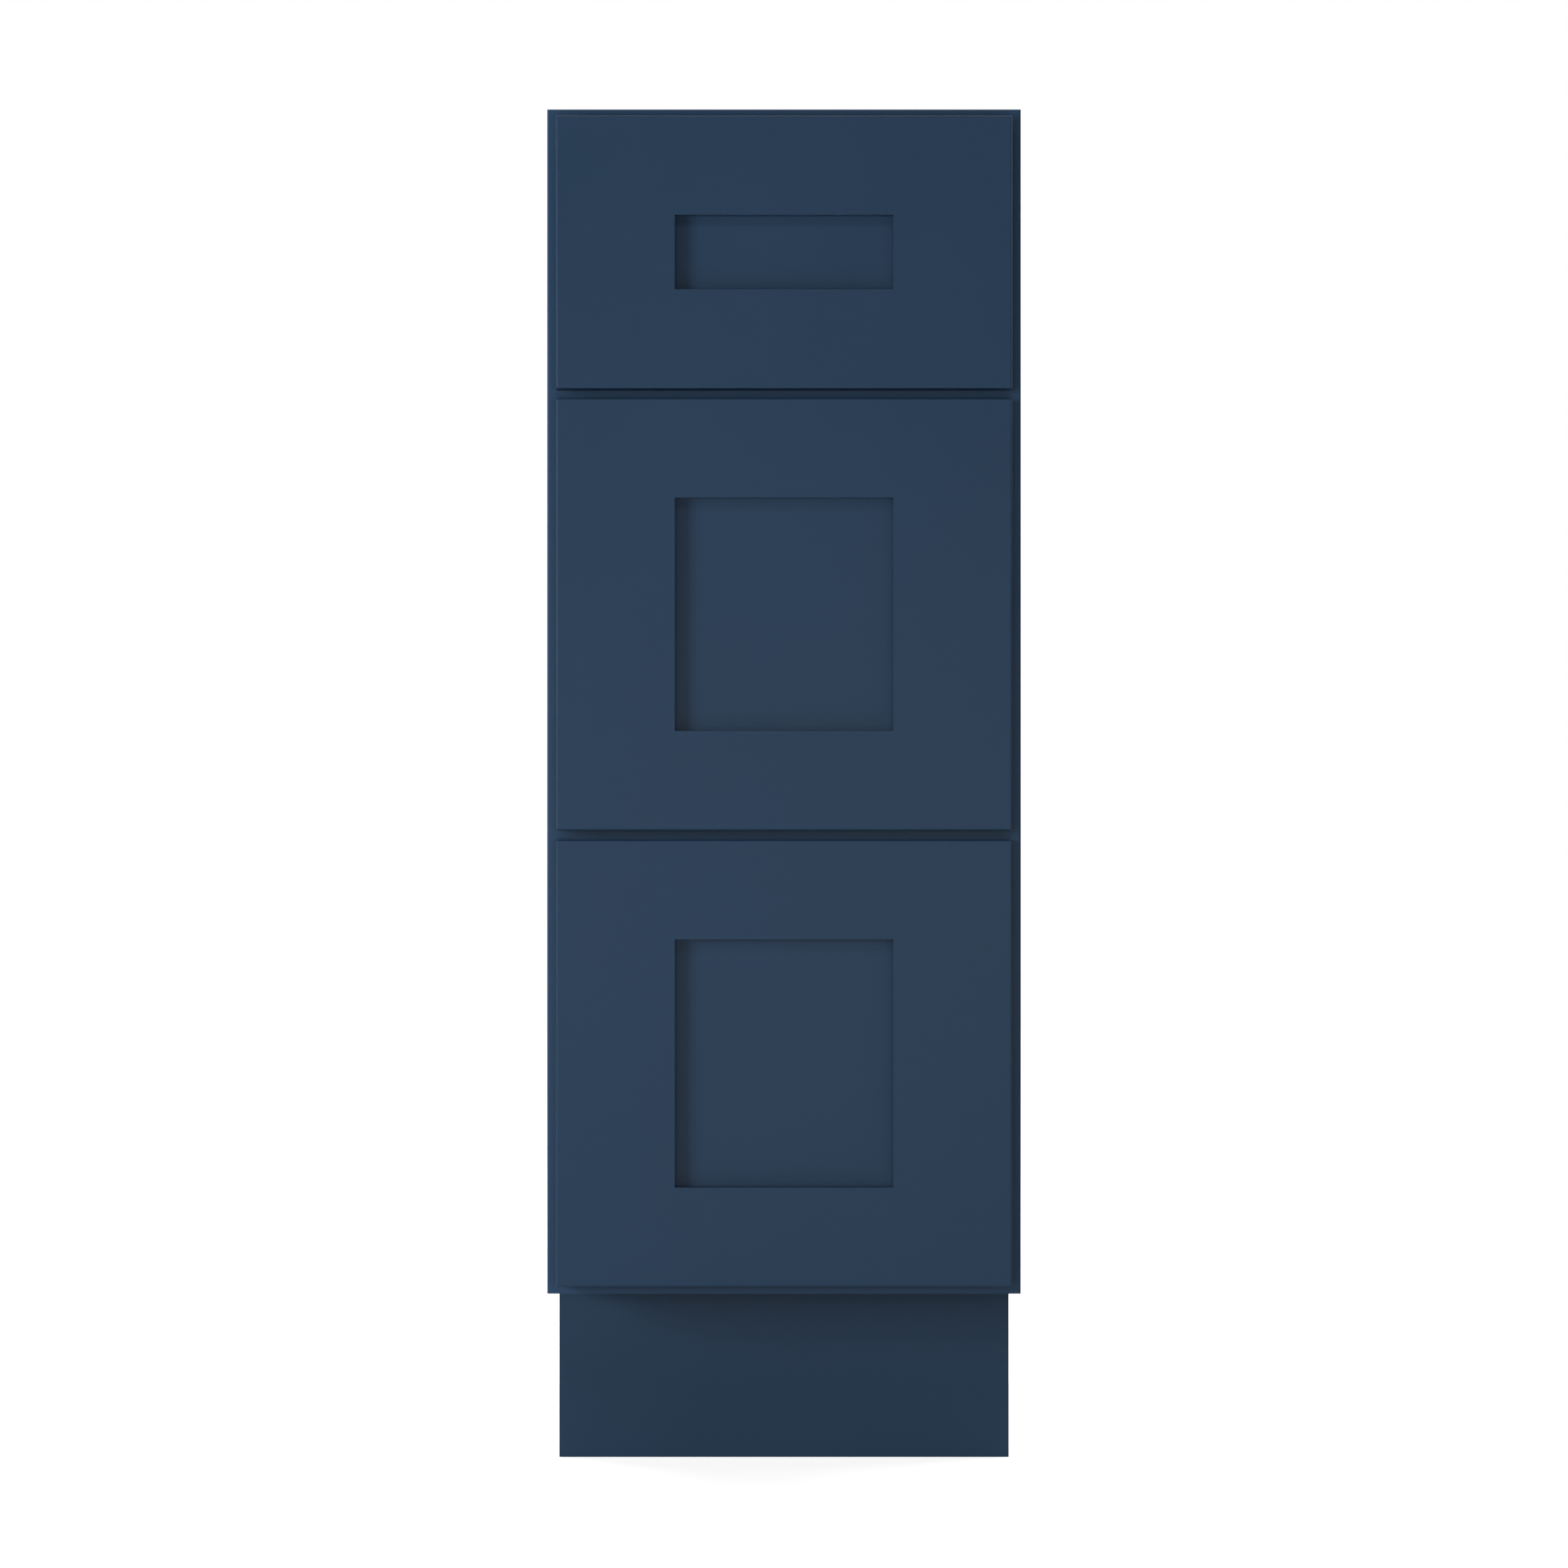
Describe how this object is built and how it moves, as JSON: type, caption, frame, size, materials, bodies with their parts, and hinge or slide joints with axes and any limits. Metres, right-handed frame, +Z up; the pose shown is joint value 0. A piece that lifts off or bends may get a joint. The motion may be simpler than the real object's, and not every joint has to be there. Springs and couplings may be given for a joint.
{
  "type": "bathroom vanity cabinet",
  "caption": "Narrow bathroom vanity base with shaker drawer fronts on a face frame, dovetailed drawers on concealed full-extension runners and a recessed toe kick.",
  "frame": {"origin": "centre of the footprint's bounding box, on the floor", "axes": "+X to the right seen from the front, +Y from the drawer fronts to the wall, +Z up"},
  "size_m": [0.3048, 0.554, 0.8763],
  "materials": {
    "navy_paint": "satin sprayed paint",
    "birch_plywood": "clear coated plywood",
    "maple": "clear satin lacquer",
    "maple_plywood": "clear satin lacquer",
    "zinc_steel": "zinc plated sheet",
    "screw_steel": "zinc plated",
    "grey_plastic": "moulded, fine texture",
    "lever_plastic": "moulded, fine texture",
    "clear_rubber": "clear soft dot"
  },
  "bodies": {
    "root": {"side_panel_left": "navy_paint", "side_panel_right": "navy_paint", "floor_panel": "birch_plywood", "back_panel": "birch_plywood", "toe_kick_board": "navy_paint", "hanging_rail": "birch_plywood", "frame_stile_left": "navy_paint", "frame_stile_right": "navy_paint", "frame_top_rail": "navy_paint", "frame_upper_mid_rail": "navy_paint", "frame_lower_mid_rail": "navy_paint", "frame_bottom_rail": "navy_paint", "corner_brackets": "grey_plastic", "frame_bumpers": "clear_rubber", "fixed_runners": "zinc_steel", "rear_runner_brackets": "grey_plastic", "soft_close_dampers": "grey_plastic", "cabinet_screws": "screw_steel"},
    "top_drawer": {"top_drawer_front_stiles": "navy_paint", "top_drawer_front_rails": "navy_paint", "top_drawer_front_panel": "navy_paint", "top_drawer_box_side_left": "maple", "top_drawer_box_side_right": "maple", "top_drawer_box_front": "maple", "top_drawer_box_back": "maple", "top_drawer_box_bottom": "maple_plywood", "top_drawer_upper_runners": "zinc_steel", "top_drawer_locking_clips": "grey_plastic", "top_drawer_screws": "screw_steel"},
    "top_middle_runners": {"top_drawer_middle_runners": "zinc_steel"},
    "top_release_lever_right": {"top_drawer_release_lever_right": "lever_plastic"},
    "top_release_lever_left": {"top_drawer_release_lever_left": "lever_plastic"},
    "middle_drawer": {"middle_drawer_front_stiles": "navy_paint", "middle_drawer_front_rails": "navy_paint", "middle_drawer_front_panel": "navy_paint", "middle_drawer_box_side_left": "maple", "middle_drawer_box_side_right": "maple", "middle_drawer_box_front": "maple", "middle_drawer_box_back": "maple", "middle_drawer_box_bottom": "maple_plywood", "middle_drawer_upper_runners": "zinc_steel", "middle_drawer_locking_clips": "grey_plastic", "middle_drawer_screws": "screw_steel"},
    "middle_middle_runners": {"middle_drawer_middle_runners": "zinc_steel"},
    "middle_release_lever_right": {"middle_drawer_release_lever_right": "lever_plastic"},
    "middle_release_lever_left": {"middle_drawer_release_lever_left": "lever_plastic"},
    "bottom_drawer": {"bottom_drawer_front_stiles": "navy_paint", "bottom_drawer_front_rails": "navy_paint", "bottom_drawer_front_panel": "navy_paint", "bottom_drawer_box_side_left": "maple", "bottom_drawer_box_side_right": "maple", "bottom_drawer_box_front": "maple", "bottom_drawer_box_back": "maple", "bottom_drawer_box_bottom": "maple_plywood", "bottom_drawer_upper_runners": "zinc_steel", "bottom_drawer_locking_clips": "grey_plastic", "bottom_drawer_screws": "screw_steel"},
    "bottom_middle_runners": {"bottom_drawer_middle_runners": "zinc_steel"},
    "bottom_release_lever_right": {"bottom_drawer_release_lever_right": "lever_plastic"},
    "bottom_release_lever_left": {"bottom_drawer_release_lever_left": "lever_plastic"}
  },
  "joints": [
    {"name": "top_drawer_slide", "type": "slide", "parent": "root", "child": "top_drawer", "axis": [0, -1, 0], "range_m": [0, 0.45]},
    {"name": "top_middle_runners_slide", "type": "slide", "parent": "root", "child": "top_middle_runners", "axis": [0, -1, 0], "range_m": [0, 0.225]},
    {"name": "top_release_lever_right_hinge", "type": "hinge", "parent": "top_drawer", "child": "top_release_lever_right", "pos_m": [0.054, -0.21638, 0.7258], "axis": [0, 0, 1], "range_deg": [0, 12], "stiffness_Nm_per_rad": 0.05, "springref_deg": -5.73},
    {"name": "top_release_lever_left_hinge", "type": "hinge", "parent": "top_drawer", "child": "top_release_lever_left", "pos_m": [-0.054, -0.21638, 0.7258], "axis": [0, 0, -1], "range_deg": [0, 12], "stiffness_Nm_per_rad": 0.05, "springref_deg": -5.73},
    {"name": "middle_drawer_slide", "type": "slide", "parent": "root", "child": "middle_drawer", "axis": [0, -1, 0], "range_m": [0, 0.45]},
    {"name": "middle_middle_runners_slide", "type": "slide", "parent": "root", "child": "middle_middle_runners", "axis": [0, -1, 0], "range_m": [0, 0.225]},
    {"name": "middle_release_lever_right_hinge", "type": "hinge", "parent": "middle_drawer", "child": "middle_release_lever_right", "pos_m": [0.054, -0.21638, 0.44322], "axis": [0, 0, 1], "range_deg": [0, 12], "stiffness_Nm_per_rad": 0.05, "springref_deg": -5.73},
    {"name": "middle_release_lever_left_hinge", "type": "hinge", "parent": "middle_drawer", "child": "middle_release_lever_left", "pos_m": [-0.054, -0.21638, 0.44322], "axis": [0, 0, -1], "range_deg": [0, 12], "stiffness_Nm_per_rad": 0.05, "springref_deg": -5.73},
    {"name": "bottom_drawer_slide", "type": "slide", "parent": "root", "child": "bottom_drawer", "axis": [0, -1, 0], "range_m": [0, 0.45]},
    {"name": "bottom_middle_runners_slide", "type": "slide", "parent": "root", "child": "bottom_middle_runners", "axis": [0, -1, 0], "range_m": [0, 0.225]},
    {"name": "bottom_release_lever_right_hinge", "type": "hinge", "parent": "bottom_drawer", "child": "bottom_release_lever_right", "pos_m": [0.054, -0.21638, 0.167], "axis": [0, 0, 1], "range_deg": [0, 12], "stiffness_Nm_per_rad": 0.05, "springref_deg": -5.73},
    {"name": "bottom_release_lever_left_hinge", "type": "hinge", "parent": "bottom_drawer", "child": "bottom_release_lever_left", "pos_m": [-0.054, -0.21638, 0.167], "axis": [0, 0, -1], "range_deg": [0, 12], "stiffness_Nm_per_rad": 0.05, "springref_deg": -5.73}
  ],
  "couplings": [
    {"joint": "top_middle_runners_slide", "follows": "top_drawer_slide", "ratio": 0.5},
    {"joint": "middle_middle_runners_slide", "follows": "middle_drawer_slide", "ratio": 0.5},
    {"joint": "bottom_middle_runners_slide", "follows": "bottom_drawer_slide", "ratio": 0.5}
  ]
}
